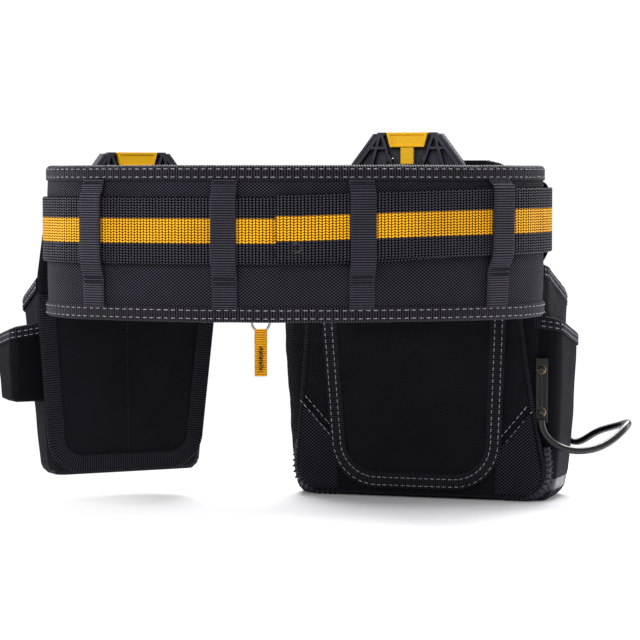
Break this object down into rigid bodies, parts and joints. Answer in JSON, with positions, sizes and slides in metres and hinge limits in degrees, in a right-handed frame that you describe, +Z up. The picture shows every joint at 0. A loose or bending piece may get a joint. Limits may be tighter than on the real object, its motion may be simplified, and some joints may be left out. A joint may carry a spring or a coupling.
{
  "type": "tool belt",
  "caption": "Padded waist belt with a web belt, side-release buckle, sliding clip hubs, two lift-off tool pouches, a hammer loop and a hanging ring.",
  "frame": {"origin": "on the floor under the centre of the waist ring, level with the base of the larger pouch", "axes": "+Z up, +Y towards the buckle at the wearer's front, +X towards the larger pouch with the hammer loop"},
  "size_m": [0.5358, 0.3823, 0.31],
  "materials": {
    "pad_fabric": "coarse ballistic weave, black",
    "foam": "closed-cell foam",
    "mesh": "spacer mesh, black",
    "webbing": "ribbed black webbing tape",
    "belt_webbing": "black webbing with a yellow centre stripe",
    "yellow_webbing": "yellow webbing",
    "black_plastic": "moulded, satin",
    "yellow_plastic": "moulded, satin",
    "pouch_fabric": "heavy pouch fabric, black",
    "smooth_fabric": "smooth black twill",
    "board": "stiff board covered in black fabric",
    "steel": "polished wire",
    "black_steel": "gloss black coating",
    "spring_steel": "bright wire"
  },
  "bodies": {
    "belt": {"pad_outer_shell": "pad_fabric", "pad_foam_core": "foam", "pad_mesh_lining": "mesh", "pad_top_binding": "webbing", "pad_bottom_binding": "webbing", "belt_loops": "webbing", "web_belt": "belt_webbing", "web_belt_tail": "belt_webbing", "tail_eyelet": "black_steel", "buckle_socket": "black_plastic", "buckle_plug": "black_plastic", "ring_hanger": "webbing"},
    "buckle_arm_top": {"buckle_arm_top": "black_plastic"},
    "buckle_arm_bottom": {"buckle_arm_bottom": "black_plastic"},
    "hang_ring": {"hang_ring": "steel"},
    "pull_tab": {"pull_tab": "yellow_webbing"},
    "right_hub": {"right_hub_plate": "black_plastic", "right_hub_bridge": "black_plastic", "right_hub_screws": "steel", "right_latch_spring": "spring_steel"},
    "right_latch": {"right_release_latch": "yellow_plastic"},
    "right_pouch": {"right_clip_plate": "black_plastic", "right_clip_rivets": "black_steel", "right_back_board": "board", "right_back_trim": "webbing", "right_pouch_shell": "pouch_fabric", "right_rim_binding": "webbing", "right_front_pocket": "pouch_fabric", "right_side_pocket": "pouch_fabric", "right_back_pad": "smooth_fabric", "right_divider": "pouch_fabric", "hammer_straps": "black_steel", "hammer_rivets": "black_steel", "hammer_loop": "black_steel"},
    "left_hub": {"left_hub_plate": "black_plastic", "left_hub_bridge": "black_plastic", "left_hub_screws": "steel", "left_latch_spring": "spring_steel"},
    "left_latch": {"left_release_latch": "yellow_plastic"},
    "left_pouch": {"left_clip_plate": "black_plastic", "left_clip_rivets": "black_steel", "left_back_board": "board", "left_back_trim": "webbing", "left_pouch_shell": "pouch_fabric", "left_rim_binding": "webbing", "left_front_pocket": "pouch_fabric", "left_side_pocket": "pouch_fabric"}
  },
  "joints": [
    {"name": "right_hub_slide", "type": "hinge", "parent": "belt", "child": "right_hub", "pos_m": [0, -0.18038, 0.2314], "axis": [0, 0, 1], "range_deg": [-8, 0]},
    {"name": "right_latch_press", "type": "slide", "parent": "right_hub", "child": "right_latch", "axis": [0, 0, -1], "range_m": [0, 0.0045], "stiffness_N_per_m": 600, "springref_m": -0.001, "deforming": ["right_latch_spring"]},
    {"name": "right_pouch_lift", "type": "slide", "parent": "right_hub", "child": "right_pouch", "axis": [0, 0, 1], "range_m": [0, 0.09]},
    {"name": "left_hub_slide", "type": "hinge", "parent": "belt", "child": "left_hub", "pos_m": [0, -0.18038, 0.2314], "axis": [0, 0, 1], "range_deg": [-3, 2]},
    {"name": "left_latch_press", "type": "slide", "parent": "left_hub", "child": "left_latch", "axis": [0, 0, -1], "range_m": [0, 0.0045], "stiffness_N_per_m": 600, "springref_m": -0.001, "deforming": ["left_latch_spring"]},
    {"name": "left_pouch_lift", "type": "slide", "parent": "left_hub", "child": "left_pouch", "axis": [0, 0, 1], "range_m": [0, 0.09]},
    {"name": "buckle_top_squeeze", "type": "hinge", "parent": "belt", "child": "buckle_arm_top", "pos_m": [0.00044, 0.12173, 0.2554], "axis": [0.0279, 0.9996, 0], "range_deg": [0, 7], "stiffness_Nm_per_rad": 0.4},
    {"name": "buckle_bottom_squeeze", "type": "hinge", "parent": "belt", "child": "buckle_arm_bottom", "pos_m": [0.00044, 0.12173, 0.2074], "axis": [-0.0279, -0.9996, 0], "range_deg": [0, 7], "stiffness_Nm_per_rad": 0.4},
    {"name": "hang_ring_swing", "type": "hinge", "parent": "belt", "child": "hang_ring", "pos_m": [-0.03317, 0.11416, 0.157], "axis": [0.9937, 0.1119, 0], "range_deg": [-60, 60]},
    {"name": "pull_tab_swing", "type": "hinge", "parent": "hang_ring", "child": "pull_tab", "pos_m": [-0.03317, 0.11416, 0.1418], "axis": [0.9937, 0.1119, 0], "range_deg": [-50, 50]}
  ]
}
